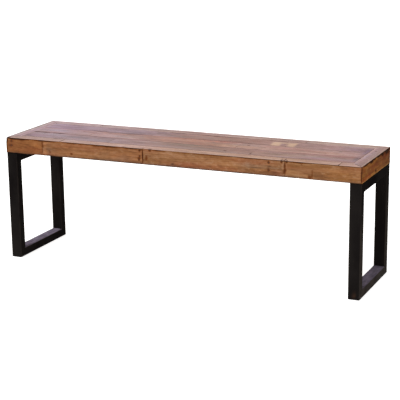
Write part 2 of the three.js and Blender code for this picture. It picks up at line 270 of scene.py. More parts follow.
def wood(name, look):
    """Reclaimed timber: growth rings, fibres, blotches, cracks, saw marks, rubbed edges and dark seams,
    with painted shade along the long aprons' foot.

    Each board's mesh carries its own grain directions, ring distance in mm, tone, distances in mm to
    its nearest seam and its nearest free edge, and masks for knots, dark stains and bare patches.
    """
    n = Nodes(name)
    grain = n.attribute("grain", "Vector")
    seam, free_edge, stain = n.attribute("seam"), n.attribute("free_edge"), n.attribute("stain")
    streaks = n.noise(grain, (4.5, 90, 90), 4.0, 0.62)
    fibres = n.noise(grain, (32, 1100, 1100), 3.0, 0.7)
    blotches = n.noise(grain, (7, 24, 24), 4.0, 0.6)
    reddening = n.noise(n.scaled(grain, (1, -1, 1)), (5, 26, 26), 3.0, 0.55)
    greying = n.noise(n.scaled(grain, (-1, 1, 1)), (4, 20, 20), 3.0, 0.55)
    mottle = n.noise(grain, (38, 85, 85), 4.0, 0.7)
    speckle = n.noise(grain, (190, 420, 420), 2.0, 0.6)

    waver = n.noise(grain, (6, 30, 30), 4.0, 0.6)
    ring_place = n.maths("DIVIDE", n.maths("MULTIPLY_ADD", waver, 9.0, n.attribute("ring")), 4.3)
    ring_phase = n.maths("FRACT", ring_place)
    darkening = n.spread(ring_phase, 0.1, 0.88)
    ending = n.spread(ring_phase, 0.91, 1.0, 1.0, 0.0)
    rings = n.maths("MULTIPLY", darkening, ending)
    ring_strength = n.spread(blotches, 0.3, 0.7, 0.35 * look.rings, look.rings)
    late_wood = n.maths("MULTIPLY", rings, ring_strength)

    colour = n.mix(n.spread(streaks, 0.36, 0.66), linear(look.pale), linear(look.mid))
    colour = n.mix(n.maths("MULTIPLY", late_wood, 0.9), colour, linear(look.dark))
    # Each pattern, the range over which its pigment comes or goes, the shares at both ends, the pigment.
    layers = (
        (blotches, (0.5, 0.72, 0.0, 0.6), look.dark),
        (reddening, (0.48, 0.68, 0.0, 0.5), look.red),
        (greying, (0.5, 0.7, 0.0, 0.7), look.grey),
        (mottle, (0.5, 0.68, 0.0, 0.45), look.dark),
        (mottle, (0.34, 0.48, 0.35, 0.0), look.worn),
        (fibres, (0.46, 0.74, 0.0, 0.5), look.dark),
        (fibres, (0.3, 0.44, 0.22, 0.0), look.worn),
    )
    for pattern, shares, pigment in layers:
        colour = n.mix(n.spread(pattern, *shares), colour, linear(pigment))
    colour = n.mix(1.0, colour, n.attribute("tone", "Color"), "MULTIPLY")

    knot = n.attribute("knot")
    knot_rings = n.spread(n.maths("SINE", n.maths("MULTIPLY", knot, 30.0)), -1.0, 1.0, 0.65, 1.0)
    knotted = n.maths("MULTIPLY", n.spread(knot, 0.15, 0.6), knot_rings)
    colour = n.mix(knotted, colour, linear(KNOT_BROWN))
    bare_wood = n.mix(n.spread(streaks, 0.35, 0.65), linear(BARE_PALE), linear(BARE_DARK))
    bared = n.maths("MULTIPLY", n.attribute("bare"), n.spread(fibres, 0.35, 0.65, 1.0, 0.6))
    colour = n.mix(bared, colour, bare_wood)

    cracks = n.thread(n.noise(grain, (3.2, 60, 60), 2.0, 0.5), 0.012)
    cracks = n.maths("MULTIPLY", cracks, n.spread(n.noise(grain, (6, 33, 33), 1.0, 0.5), 0.56, 0.66))
    pits = n.spread(speckle, 0.70, 0.78)
    hollows = n.maths("MAXIMUM", cracks, n.maths("MULTIPLY", pits, 0.6))
    colour = n.mix(n.maths("MULTIPLY", hollows, 0.85), colour, linear(CRACK_BROWN))

    rub_reach = n.maths("MULTIPLY_ADD", blotches, -7.0, free_edge)
    rubbed = n.spread(rub_reach, -2.6, 0.6, 0.6, 0.0)
    colour = n.mix(rubbed, colour, linear(look.worn))
    stain_reach = n.maths("ADD", stain, n.maths("SUBTRACT", mottle, 0.5))
    rimmed = n.spread(stain_reach, 0.14, 0.5, 0.0, 0.9)
    colour = n.mix(rimmed, colour, linear(look.rim))
    colour = n.mix(n.spread(stain_reach, 0.5, 0.95, 0.0, 0.9), colour, linear(STAIN_BROWN))
    patchy = n.noise(grain, (7, 12, 12), 2.0, 0.5)
    # Seam darkening: dirt in the joints, and painted shade along the long aprons' foot, which counts as a
    # seam.
    dirt_and_shade_depth = n.maths("SUBTRACT", seam, n.spread(patchy, 0.36, 0.62, 0.0, 1.8 * look.dirt))
    dirt_and_shade_share = n.spread(dirt_and_shade_depth, -1.0, 0.3, 0.85, 0.0)
    colour = n.mix(dirt_and_shade_share, colour, linear(DIRT_AND_SHADE_BROWN))

    coarseness = n.maths("ADD", fibres, blotches)
    gloss = n.spread(coarseness, 0.65, 1.35, look.roughness - 0.07, look.roughness + 0.12)
    dulled = n.maths("MULTIPLY", n.maths("MAXIMUM", dirt_and_shade_share, rimmed), 0.5)
    gloss = n.maths("ADD", gloss, dulled, clamp=True)
    saw_marks = n.noise(grain, (330, 9, 9), 1.0, 0.5)
    saw_marks = n.maths("MULTIPLY", saw_marks, n.spread(reddening, 0.45, 0.6))
    normal = n.bump(fibres, 0.0002, 0.6)
    normal = n.bump(late_wood, 0.00015, 0.6, normal)
    normal = n.bump(saw_marks, 0.0003, 0.4, normal)
    normal = n.bump(n.maths("SUBTRACT", 1.0, hollows), 0.0006, 0.8, normal)
    return n.finish(colour, gloss, normal, Specular_IOR_Level=look.specular)


COAT_BLACK, COAT_WORN, COAT_RUBBED_AND_HIGHLIT = "0e0c0c", "171514", "2a2522"
# Dust colours, which also paint light: the thin one light from the floor on low outward faces, the thick
# lavender one the softbox's cool sheen on the rails' tops.
DUST_AND_SHEEN_THIN, DUST_AND_SHEEN_THICK = "8a8178", "8d869b"
RUST_BROWN = "553b2a"


def black_steel():
    """Satin black powder coat: faint orange peel, handling marks, corners lighter from wear and a painted
    highlight, and dust that also paints the softbox's cool sheen on the rails and light from the floor low
    on outward faces.
    """
    n = Nodes("black_powder_coat")
    place = n.position()
    cloud = n.noise(place, (7, 7, 4), 4.0, 0.6)
    peel = n.noise(place, (700, 700, 700), 2.0, 0.5)
    handling = n.noise(place, (34, 34, 11), 5.0, 0.65)
    drift = n.noise(place, (60, 24, 60), 5.0, 0.7)
    colour = n.mix(n.spread(cloud, 0.35, 0.7), linear(COAT_BLACK), linear(COAT_WORN))
    # Corners lighter: rubbed wear, and a painted highlight along the rounded corners.
    rub_reach = n.maths("MULTIPLY_ADD", handling, -3.0, n.attribute("free_edge"))
    rubbed = n.spread(rub_reach, -1.9, -1.0, 0.3, 0.0)
    colour = n.mix(rubbed, colour, linear(COAT_RUBBED_AND_HIGHLIT))
    # This attribute carries dust and painted light: the softbox's cool sheen on the rails' tops and light
    # from the floor low on outward faces.
    dust_and_sheen = n.attribute("dust_and_sheen")
    dust_and_sheen_cover = n.maths("MULTIPLY", dust_and_sheen, n.spread(drift, 0.3, 0.7, 0.5, 1.0))
    dust_and_sheen_colour = n.mix(n.spread(dust_and_sheen, 0.12, 0.3), linear(DUST_AND_SHEEN_THIN), linear(DUST_AND_SHEEN_THICK))
    colour = n.mix(dust_and_sheen_cover, colour, dust_and_sheen_colour)
    scuffed = n.maths("MULTIPLY", n.attribute("stain"), n.spread(handling, 0.35, 0.6, 0.4, 1.0))
    colour = n.mix(scuffed, colour, linear(RUST_BROWN))
    gloss = n.spread(handling, 0.3, 0.75, 0.42, 0.56)
    gloss = n.maths("ADD", gloss, n.maths("MULTIPLY", dust_and_sheen_cover, 0.3), clamp=True)
    return n.finish(colour, gloss, n.bump(peel, 0.00006, 0.6), Specular_IOR_Level=0.0)


def mottled(name, first, second, scale, roughness, bump, **constants):
    """A plain material with one fractal noise behind its colour, roughness and relief."""
    n = Nodes(name)
    grit = n.noise(n.position(), (scale, scale, scale), 4.0, 0.65)
    share = n.spread(grit, 0.33, 0.67)
    gloss = n.spread(grit, 0.3, 0.7, roughness - 0.12, roughness + 0.12)
    return n.finish(n.mix(share, linear(first), linear(second)), gloss, n.bump(grit, bump), **constants)


# --- Mesh code -----------------------------------------------------------------------------------

def lattice_noise(points, seed):
    """Smooth value noise between 0 and 1 at an array of points, one cell per unit.

    Every cell corner has a value of its own, hashed from its place and the seed.
    """
    cell = np.floor(points).astype(np.int64)
    part = points - cell
    part = part * part * (3 - 2 * part)
    total = np.zeros(points.shape[:-1])
    for corner in range(8):
        step = np.array([corner & 1, corner >> 1 & 1, corner >> 2 & 1])
        at = cell + step
        mixed = at[..., 0] * 73856093 ^ at[..., 1] * 19349663 ^ at[..., 2] * 83492791 ^ seed * 2654435761
        mixed = (mixed ^ (mixed >> 13)) * 1274126177 & 0x7FFFFFFF
        mixed = (mixed ^ (mixed >> 11)) % 65536
        weight = np.prod(np.where(step == 1, part, 1 - part), axis=-1)
        total += weight * mixed / 65535
    return total


Corner = namedtuple("Corner", "place radius free")


class Section:
    """A closed counterclockwise outline with rounded corners, its sides split at their own spacings.

    Keeps for each point its outward normal, the direction in which it wears away, and its distances from
    the nearest free and unfree corners. Near a corner both sides wear along the line that halves it, so
    that they never cross.
    """

    FAR = 1.0
    CORNER_REACH = 5 * MM

    def __init__(self, corners, spacings):
        count = len(corners)
        places = [np.array(corner.place, dtype=float) for corner in corners]
        sides = [places[(i + 1) % count] - places[i] for i in range(count)]
        normals = [np.array((side[1], -side[0])) / np.linalg.norm(side) for side in sides]
        sums = [normals[i - 1] + normals[i] for i in range(count)]
        halves = [total / np.linalg.norm(total) for total in sums]
        arcs = [self.arc(places[i], corners[i].radius, normals[i - 1], normals[i]) for i in range(count)]
        points, point_normals, wear, free, fixed = [], [], [], [], []

        def add(point, normal, near):
            distance, nearest = min(near)
            share = max(0.0, 1 - distance / self.CORNER_REACH)
            points.append(point)
            point_normals.append(normal)
            wear.append(share * halves[nearest] + (1 - share) * normal)
            for distances, wanted in ((free, True), (fixed, False)):
                of_kind = [d for d, k in near if corners[k].free == wanted]
                distances.append(min(of_kind, default=self.FAR))

        for i, corner in enumerate(corners):
            after = (i + 1) % count
            following = corners[after]
            for point, normal in arcs[i]:
                add(point, normal, [(0.0, i)])
            start, end = arcs[i][-1][0], arcs[after][0][0]
            length = np.linalg.norm(end - start)
            steps = max(1, round(length / spacings[i]))
            margin = min(0.5 * max(corner.radius, following.radius), 0.2 * length / steps)
            for d in (margin, *(length * k / steps for k in range(1, steps)), length - margin):
                point = start + (end - start) * d / length
                add(point, normals[i], [(d, i), (length - d, after)])
        self.points, self.normals, self.wear = np.array(points), np.array(point_normals), np.array(wear)
        self.from_free, self.from_fixed = np.array(free), np.array(fixed)

    @staticmethod
    def arc(corner, radius, before, after):
        """Points and normals round one corner."""
        centre = corner - radius * (before + after) / (1 + before @ after)
        turn = math.atan2(before[0] * after[1] - before[1] * after[0], before @ after)
        steps = 5 if radius > 2 * MM else 3
        arc = []
        for k in range(steps + 1):
            c, s = math.cos(turn * k / steps), math.sin(turn * k / steps)
            normal = np.array((before[0] * c - before[1] * s, before[0] * s + before[1] * c))
            arc.append((centre + radius * normal, normal))
        return arc


def rectangle(low_a, low_b, high_a, high_b, radii, free):
    places = ((low_a, low_b), (high_a, low_b), (high_a, high_b), (low_a, high_b))
    return [Corner(*values) for values in zip(places, radii, free)]


def round_off(from_end, radius):
    """How far a surface stands back at a distance from an end whose arris is rounded."""
    curl = np.maximum(0, radius - from_end)
    return radius - np.sqrt(radius ** 2 - curl ** 2)


def stations(length, rounds, spacing, details=()):
    """Fractions of the run at which a section stands: close at the rounded ends and about details.

    A detail is a place and a reach along the run.
    """
    steps = (0, 0.08, 0.3, 0.62, 1, 2)
    places = [rounds[0] * step for step in steps] + [length - rounds[1] * step for step in steps]
    places += list(np.linspace(2 * rounds[0], length - 2 * rounds[1], max(2, round(length / spacing))))
    for centre, reach in details:
        places += list(np.arange(centre - 2.5 * reach, centre + 2.5 * reach, 0.45 * reach))
    kept = [0.0]
    for place in sorted(p for p in places if 0 < p < length):
        if place - kept[-1] > 0.04 * MM:
            kept.append(place)
    return np.array(kept + [length]) / length


def mesh_piece(node, suffix, vertices, faces, material, attributes, flat_faces=0):
    """A piece that stands for a CAD node, with its last flat_faces faces shaded flat."""
    name = f"{node}_{suffix}"
    mesh = bpy.data.meshes.new(name)
    mesh.from_pydata(np.asarray(vertices).tolist(), [], faces)
    smooth = np.ones(len(faces), dtype=bool)
    if flat_faces:
        smooth[-flat_faces:] = False
    mesh.polygons.foreach_set("use_smooth", smooth)
    for key, values in attributes.items():
        values = np.asarray(values, dtype=np.float32)
        kind, field = ("FLOAT", "value") if values.ndim == 1 else ("FLOAT_VECTOR", "vector")
        if values.ndim == 2 and values.shape[1] == 4:
            kind, field = "FLOAT_COLOR", "color"
        mesh.attributes.new(key, kind, "POINT").data.foreach_set(field, values.ravel())
    mesh.materials.append(material)
    mesh.update()
    piece = bpy.data.objects.new(name, mesh)
    bpy.context.collection.objects.link(piece)
    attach(piece, "root")
    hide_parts(node)


def loft_faces(rings, sides):
    """Quads between rings that turn counterclockwise about the run, then one cap at each end."""
    faces = []
    for j in range(rings - 1):
        for i in range(sides):
            a, b = j * sides + i, j * sides + (i + 1) % sides
            faces.append((a, b, b + sides, a + sides))
    faces.append(tuple(reversed(range(sides))))
    faces.append(tuple(range((rings - 1) * sides, rings * sides)))
    return faces


# --- Boards --------------------------------------------------------------------------------------

# Marks and tints of a seen face: the place along the board and across the face, and the reaches. A mark
# has a depth and a darkness, and a tint has what the colour is multiplied by.
Mark = namedtuple("Mark", "along across reach_along reach_across depth dark")
Tint = namedtuple("Tint", "along across reach_along reach_across colour")

# A board's end: its place along the run for each place across, and how far its arris is rounded.
End = namedtuple("End", "place round")

FINE = 4 * MM
COARSE = 60 * MM
WORN_RADIUS = 0.8 * MM
ARRIS_RADIUS = 0.45 * MM
FOOT_RADIUS = 0.4 * MM
PLANK_RADIUS = 0.4 * MM
SAWN_RADIUS = 0.3 * MM
MITRE_ROUND = 1.0 * MM
BUTT_ROUND = 0.35 * MM
TAKE_UP = 0.22 * MM
OPEN_JOINT = -122 * MM
TONE_BLEND = 120 * MM


def bell(along, across, spot):
    """1 in the middle of a mark or tint, falling off smoothly with its reaches."""
    shape = ((along - spot.along) / spot.reach_along) ** 2
    return np.exp(-shape - ((across - spot.across) / spot.reach_across) ** 2)


class Board:
    """One timber board: a rounded section lofted along X or Y between two ends that may be mitred.

    face is "top", or "side" where the seen face is upright. wear scales how far the corners are rubbed,
    and end_clean narrows the band of grime and wear at both ends.
    """

    def __init__(self, node, axis, section, ends, seed, face="top"):
        self.node, self.axis, self.face, self.seed = node, axis, face, seed
        self.section, self.ends = section, ends
        self.random = random.Random(seed * 7919)
        self.marks, self.tints, self.knots, self.bare_patches = [], [], [], []
        self.tones = [(0.0, (1, 1, 1))]
        self.spacing = 5 * MM
        self.wear = 1.0
        self.end_clean = 1.0

    def build(self, material):
        section = self.section
        u, v = section.points[:, 0], section.points[:, 1]
        low, high = self.ends[0].place(u), self.ends[1].place(u)
        start, length = float(np.mean(low)), float(np.mean(high - low))
        details = [(mark.along - start, mark.reach_along) for mark in self.marks]
        fractions = stations(length, [end.round for end in self.ends], self.spacing, details)[:, None]
        along = low + fractions * (high - low)
        u, v = np.broadcast_to(u, along.shape), np.broadcast_to(v, along.shape)
        from_end = np.minimum(along - low, high - along)
        fixed = np.minimum(section.from_fixed, from_end * self.end_clean)
        edge = np.minimum(fixed, section.from_free)

        stain, dents = self.marked(along, u, v)
        inset = self.worn_away(along, u, v, edge) + dents
        for from_this_end, end in ((along - low, self.ends[0]), (high - along, self.ends[1])):
            inset = inset + round_off(from_this_end, end.round)
        u = u - section.wear[:, 0] * inset
        v = v - section.wear[:, 1] * inset
        low, high = self.ends[0].place(u), self.ends[1].place(u)
        along = low + fractions * (high - low)

        attributes = self.grain(along, u, v)
        attributes["seam"] = fixed / MM
        attributes["free_edge"] = np.broadcast_to(section.from_free, along.shape) / MM
        attributes["stain"] = stain
        attributes["bare"] = self.bared(along, u)
        attributes["tone"] = self.toned(along, u, v)
        attributes = {key: flat(values) for key, values in attributes.items()}
        if self.axis == "x":
            vertices, faces = np.stack([along, u, v], axis=-1), loft_faces(*along.shape)
        else:
            vertices = np.stack([u, along, v], axis=-1)
            faces = [tuple(reversed(face)) for face in loft_faces(*along.shape)]
        mesh_piece(self.node, "board", vertices.reshape(-1, 3), faces, material, attributes, 2)

    def across(self, u, v):
        return v if self.face == "side" else u

    def worn_away(self, along, u, v, edge):
        """How far inwards the surface stands: rubbed corners with a few chips, and a gentle waviness."""
        place = np.stack([along, u, v], axis=-1) / MM + self.seed * 137.0
        slow = lattice_noise(place / (70, 30, 30), self.seed)
        quick = lattice_noise(place / (13, 9, 9), self.seed + 50)
        near_edge = np.clip(1 - edge / (4 * MM), 0, 1) ** 2
        chips = np.clip(quick - 0.76, 0, 1) * 5.5
        rub = (0.15 + 0.75 * slow ** 2 + chips) * MM * near_edge * self.wear
        waviness = (lattice_noise(place / (120, 35, 35), self.seed + 9) - 0.5) * 0.35 * MM
        return rub + (0.18 * MM + waviness) * np.clip(edge / (12 * MM), 0, 1)

    def marked(self, along, u, v):
        """Darkness and depth of this board's marks."""
        outwards = self.section.normals[:, 1 if self.face == "top" else 0]
        seen = outwards > 0.6 if self.face == "top" else np.abs(outwards) > 0.6
        stain, depth = np.zeros(along.shape), np.zeros(along.shape)
        for mark in self.marks:
            shape = bell(along, self.across(u, v), mark)
            depth = np.maximum(depth, shape * mark.depth)
            stain = np.maximum(stain, shape * mark.dark * seen)
        return stain, depth

    def toned(self, along, u, v):
        """The board's tones, passing from one to the next along it, with its tints on them."""
        tone = np.ones(along.shape + (4,))
        places, colours = zip(*self.tones)
        for channel in range(3):
            tone[..., channel] = np.interp(along, places, [colour[channel] for colour in colours])
        for tint in self.tints:
            shape = bell(along, self.across(u, v), tint)[..., None]
            tone[..., :3] *= 1 + shape * (np.array(tint.colour) - 1)
        return tone

    def bared(self, along, u):
        """A mask of patches where the finish is gone, their corners counterclockwise from above."""
        mask = np.zeros(along.shape)
        for strength, corners in self.bare_patches:
            patch = [(x * MM, y * MM) for x, y in corners]
            inside = np.full(along.shape, Section.FAR)
            for (ax, ay), (bx, by) in zip(patch, patch[1:] + patch[:1]):
                cross = (bx - ax) * (u - ay) - (by - ay) * (along - ax)
                inside = np.minimum(inside, cross / math.hypot(bx - ax, by - ay))
            mask = np.maximum(mask, strength * np.clip(0.5 + inside / (7 * MM), 0, 1))
        return mask

    def grain(self, along, u, v):
        """Places along, across and into the grain, ring distances round the pith, and the knots."""
        middle_u, middle_v = np.mean(self.section.points, axis=0)
        across, depth = u - middle_u, v - middle_v
        if self.face == "side":
            across, depth = depth, across
        shift = self.seed * 1.37
        grain = np.stack([along + shift, across + shift * 0.31, depth + shift * 0.17], axis=-1)
        pith_across = self.random.uniform(-60, 60) * MM
        pith_depth = -self.random.uniform(35, 110) * MM
        tilt = self.random.uniform(-0.04, 0.04)
        sway = (lattice_noise(grain * (3.5, 5.0, 5.0), self.seed + 3) - 0.5) * 55 * MM
        from_pith = across - pith_across - tilt * (along - np.mean(along)) + sway
        ring = np.hypot(from_pith, depth - pith_depth)
        knot = np.zeros(along.shape)
        for knot_along, knot_across, reach in self.knots:
            distance = np.hypot((along - knot_along) * 0.75, self.across(u, v) - knot_across) / reach
            knot = np.maximum(knot, np.exp(-1.6 * distance ** 2))
            ring = ring + 9 * MM * np.exp(-(distance / 2.4) ** 2)
        return {"grain": grain, "ring": ring / MM, "knot": knot}


def flat(values):
    """One row per vertex."""
    return values.reshape(-1, values.shape[-1]) if values.ndim == 3 else values.ravel()


def square(place, sign=0):
    """A square end, drawn slightly to its neighbour on the side of sign, except at the open joint."""
    if abs(place - OPEN_JOINT) > MM:
        place += sign * TAKE_UP
    return End(lambda across: np.full_like(across, place), BUTT_ROUND)


# The corner mitres lie where the distances from both centre lines differ by the same amount.
CORNER_OFFSET = HALF_LENGTH - HALF_WIDTH
MITRE_GAP = 0.3 * MM


def mitred_x(end, side):
    """A mitred end of a board along X: end is -1 on the left, side is -1 at the front."""
    return End(lambda across: end * (CORNER_OFFSET + side * across - MITRE_GAP), MITRE_ROUND)


def mitred_y(end, side):
    """A mitred end of a board along Y: end is -1 at the front, side is -1 on the left."""
    return End(lambda across: end * (side * across - CORNER_OFFSET - MITRE_GAP), MITRE_ROUND)


def long_ends(node, side):
    """Mitred where the board reaches a corner of the bench, square where it meets another board."""
    low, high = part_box(node)
    first = mitred_x(-1, side) if low[0] < 2 * MM - HALF_LENGTH else square(low[0], -1)
    last = mitred_x(1, side) if high[0] > HALF_LENGTH - 2 * MM else square(high[0], 1)
    return first, last


def passing_tones(nodes, colours):
    """The tones along a run of boards, each passing softly into the next about their joint."""
    joints = [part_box(node)[1][0] for node in nodes]
    stops = [(-HALF_LENGTH, colours[0])]
    for joint, before, after in zip(joints, colours, colours[1:]):
        stops += [(joint - TONE_BLEND, before), (joint + TONE_BLEND, after)]
    return stops


def dress(board, low, high, marks=(), tints=(), knots=()):
    """Give a board those marks, tints and knots that reach into its box. They are written in mm."""
    run = 0 if board.axis == "x" else 1
    side = 2 if board.face == "side" else 1 - run

    def reaches(along, across, reach_along, reach_across):
        return (low[run] - reach_along < along < high[run] + reach_along
                and low[side] - reach_across < across < high[side] + reach_across)

    for values in marks:
        mark = Mark(*[value * MM for value in values[:5]], values[5])
        if reaches(*mark[:4]):
            board.marks.append(mark)
    for values in tints:
        tint = Tint(*[value * MM for value in values[:4]], values[4])
        if reaches(*[2 * value if i > 1 else value for i, value in enumerate(tint[:4])]):
            board.tints.append(tint)
    for along, across, reach in knots:
        if reaches(along * MM, across * MM, 0, 0):
            board.knots.append((along * MM, across * MM, reach * MM))


BOARD_THICKNESS = 18 * MM
BEVEL_SLACK = 0.42 * MM
PLACES = ("left", "middle", "right")
PLANK_SEED, BORDER_SEED, APRON_SEED, UNDERSIDE_SEED = 1, 21, 41, 61

# What the planks' colours are multiplied by, from left to right in each row. Other tones work likewise.
PLANK_TONES = {
    "front": ((0.79, 0.64, 0.66), (0.90, 0.70, 0.46), (1.14, 1.08, 1.18)),
    "centre": ((0.98, 0.90, 0.88), (1.18, 0.90, 0.52), (1.34, 1.36, 1.50)),
    "back": ((0.84, 0.73, 1.14), (0.88, 0.56, 0.40), (1.21, 1.26, 1.74)),
}

# Marks on the seat's top: X, Y, reach along and across the grain, depth in mm, and darkness.
TOP_MARKS = [
    (170, -100, 7, 5, 0.5, 0.7),
    (272, -116, 4, 11, 0.6, 0.6),
    (215, 15, 7, 5, 0.4, 0.75),
    (-620, -41, 45, 5, 0.8, 1.0),
    (-545, -41, 40, 4, 0.6, 0.8),
    (-400, 47, 70, 4, 0.2, 0.4),
    (-120, 127, 80, 7, 0.2, 0.55),
    (60, 126, 100, 8, 0.2, 0.68),
    (300, 128, 130, 6, 0.2, 0.56),
    (-470, 20, 7, 3, 0.3, 0.5),
    (520, -20, 6, 3, 0.3, 0.5),
]
TOP_KNOTS = [(-60, -88, 9), (560, 30, 8), (-520, 95, 8), (75, 20, 7)]

# Soft changes of hue on the planks: X, Y, reach along and across, and what the colour is multiplied by.
TOP_TINTS = [
    (-570, 40, 110, 80, (0.98, 0.86, 1.30)),
    (-610, -100, 60, 18, (0.95, 0.80, 1.40)),
    (-380, 15, 100, 13, (1.20, 0.92, 0.80)),
    (-330, -88, 110, 30, (0.85, 0.98, 1.20)),
    (-230, 90, 90, 22, (0.84, 0.98, 1.20)),
    (-80, 72, 80, 13, (0.80, 1.15, 1.05)),
    (-110, 124, 90, 9, (0.75, 0.50, 0.60)),
    (70, 124, 90, 9, (0.70, 0.52, 0.55)),
    (320, 126, 120, 8, (0.75, 0.65, 0.65)),
    (-20, 22, 130, 20, (1.20, 1.00, 0.75)),
    (120, 38, 70, 8, (1.30, 0.75, 0.70)),
    (150, -16, 100, 11, (1.12, 1.10, 0.75)),
    (0, -64, 80, 11, (0.88, 1.20, 0.95)),
    (100, 85, 60, 14, (0.95, 1.12, 0.90)),
    (385, -92, 70, 11, (1.00, 1.20, 0.95)),
    (300, -58, 110, 10, (0.95, 0.80, 0.95)),
    (540, -105, 90, 14, (0.88, 0.70, 1.10)),
    (500, 15, 90, 22, (1.10, 0.98, 0.90)),
    (648, -70, 13, 45, (0.45, 0.35, 0.75)),
    (648, 60, 13, 75, (0.50, 0.40, 0.80)),
    (610, 20, 40, 90, (0.92, 0.84, 1.00)),
]

# Two small pale patches either side of the right-hand joint of the back row, and a fainter one between
# them: strength, then the corners as X and Y.
BARE_PATCHES = [
    (1.0, [(287, 43), (323, 41), (312, 105), (280, 101)]),
    (1.0, [(349, 48), (377, 41), (374, 109), (343, 99)]),
    (0.6, [(304, 80), (349, 80), (347, 108), (302, 108)]),
]


def make_planks(material):
    seed = PLANK_SEED
    for row, colours in PLANK_TONES.items():
        nodes = [f"plank_{row}_{place}" for place in PLACES]
        tones = passing_tones(nodes, colours)
        for node in nodes:
            low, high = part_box(node)
            radii = (SAWN_RADIUS, SAWN_RADIUS, PLANK_RADIUS, PLANK_RADIUS)
            corners = rectangle(low[1], low[2], high[1], high[2], radii, (False,) * 4)
            section = Section(corners, (COARSE, COARSE, FINE, COARSE))
            board = Board(node, "x", section, (square(low[0], -1), square(high[0], 1)), seed)
            board.tones = tones
            board.end_clean = 4.0
            dress(board, low, high, TOP_MARKS, TOP_TINTS, TOP_KNOTS)
            if row == "back":
                board.bare_patches = BARE_PATCHES
            board.build(material)
            seed += 1


def border_section(low, high, bottom, side):
    """Flat on top, square at its inner edge, bevelled under at its outer edge, both rubbed pale."""
    inner, outer = (low, high) if side > 0 else (high, low)
    corners = [
        Corner((inner, bottom), SAWN_RADIUS, False),
        Corner((outer - side * (BOARD_THICKNESS + BEVEL_SLACK), bottom), SAWN_RADIUS, False),
        Corner((outer - side * BEVEL_SLACK, TOP), ARRIS_RADIUS, True),
        Corner((inner, TOP), WORN_RADIUS, True),
    ]
    if side > 0:
        return Section(corners, (COARSE, COARSE, FINE, COARSE))
    return Section(corners[::-1], (FINE, COARSE, COARSE, COARSE))


BORDER_TONES = {
    "front": ((0.87, 0.75, 0.55), (1.13, 1.05, 0.84), (1.13, 1.13, 1.36)),
    "back": ((0.88, 0.92, 1.06), (0.88, 0.90, 1.03), (0.90, 0.97, 1.08)),
}
BORDER_END_TONES = {"left": (0.98, 0.96, 0.96), "right": (0.70, 0.63, 0.75)}

# Marks on the border's long boards, as for TOP_MARKS. The first three split the arris over the front
# apron's right joint.
BORDER_MARKS = [
    (411, -168, 2.4, 12, 2.6, 1.2),
    (421, -164, 2.2, 16, 2.6, 1.2),
    (431, -170, 2.2, 9, 2.4, 1.1),
    (-122, -172, 2.2, 6, 1.6, 1.0),
    (-466, -160, 2.2, 11, 0.8, 0.8),
    (-200, -172, 9, 2.5, 1.2, 0.8),
    (-92, -173, 7, 2.5, 1.2, 0.9),
    (617, -166, 2.4, 9, 0.8, 0.8),
    (-697, -173, 10, 7, 3.0, 1.5),
]

# Marks and tints on the border's end boards, with Y first, then X.
END_MARKS = [(83, 672, 5, 5, 0.5, 0.9), (-173, -697, 8, 7, 3.0, 1.5)]
END_TINTS = [
    # The first is a painted highlight: a pale, cool line along the right border's inner arris.
    (0, 663, 150, 5, (1.75, 2.00, 2.60)),
    (0, 697, 200, 5, (0.75, 0.60, 0.35)),
    (0, -695, 200, 7, (0.18, 0.36, 0.30)),
    (0, -682, 200, 5, (1.30, 1.75, 2.20)),
    (0, -663, 200, 10, (0.72, 0.66, 1.20)),
]


def make_border(material):
    seed = BORDER_SEED
    for side, sign in (("front", -1), ("back", 1)):
        nodes = [f"border_{side}_{place}" for place in PLACES]
        for node in nodes:
            low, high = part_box(node)
            section = border_section(low[1], high[1], low[2], sign)
            board = Board(node, "x", section, long_ends(node, sign), seed)
            board.tones = passing_tones(nodes, BORDER_TONES[side])
            dress(board, low, high, BORDER_MARKS)
            board.build(material)
            seed += 1
    for side, sign in (("left", -1), ("right", 1)):
        node = f"border_end_{side}"
        low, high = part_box(node)
        ends = (mitred_y(-1, sign), mitred_y(1, sign))
        board = Board(node, "y", border_section(low[0], high[0], low[2], sign), ends, seed)
        board.tones = [(0.0, BORDER_END_TONES[side])]
        dress(board, low, high, END_MARKS, END_TINTS)
        board.build(material)
        seed += 1


def apron_section(low, high, bottom, side, foot_unshaded):
    """An upright board, bevelled at its top to meet the border. Its last argument keeps off its foot the
    seam darkening, which there is a line of painted shade along the bottom arris.
    """
    inner, outer = (low, high) if side > 0 else (high, low)
    corners = [
        Corner((inner, bottom), SAWN_RADIUS, False),
        # Unless kept plain, the foot counts as a seam, and its darkening paints shade along the bottom
        # arris.
        Corner((outer, bottom), FOOT_RADIUS, foot_unshaded),
        Corner((outer, TOP - BEVEL_SLACK), ARRIS_RADIUS, False),
        Corner((inner, TOP - BEVEL_SLACK - BOARD_THICKNESS), SAWN_RADIUS, False),
    ]
    if side > 0:
        return Section(corners, (COARSE, 3 * MM, COARSE, COARSE))
    return Section(corners[::-1], (COARSE, 3 * MM, COARSE, COARSE))


APRON_TONES = {
    "front": ((0.87, 0.70, 0.46), (0.93, 0.83, 0.73), (0.96, 0.94, 0.94), (1.00, 0.95, 0.87)),
    "back": ((1.0, 1.0, 1.0), (0.95, 0.95, 0.95), (1.0, 0.98, 0.95)),
}
NAIL_COUNT = 6
NAIL_STAIN_REACH = 4.8
NAIL_HOLLOW = 0.5

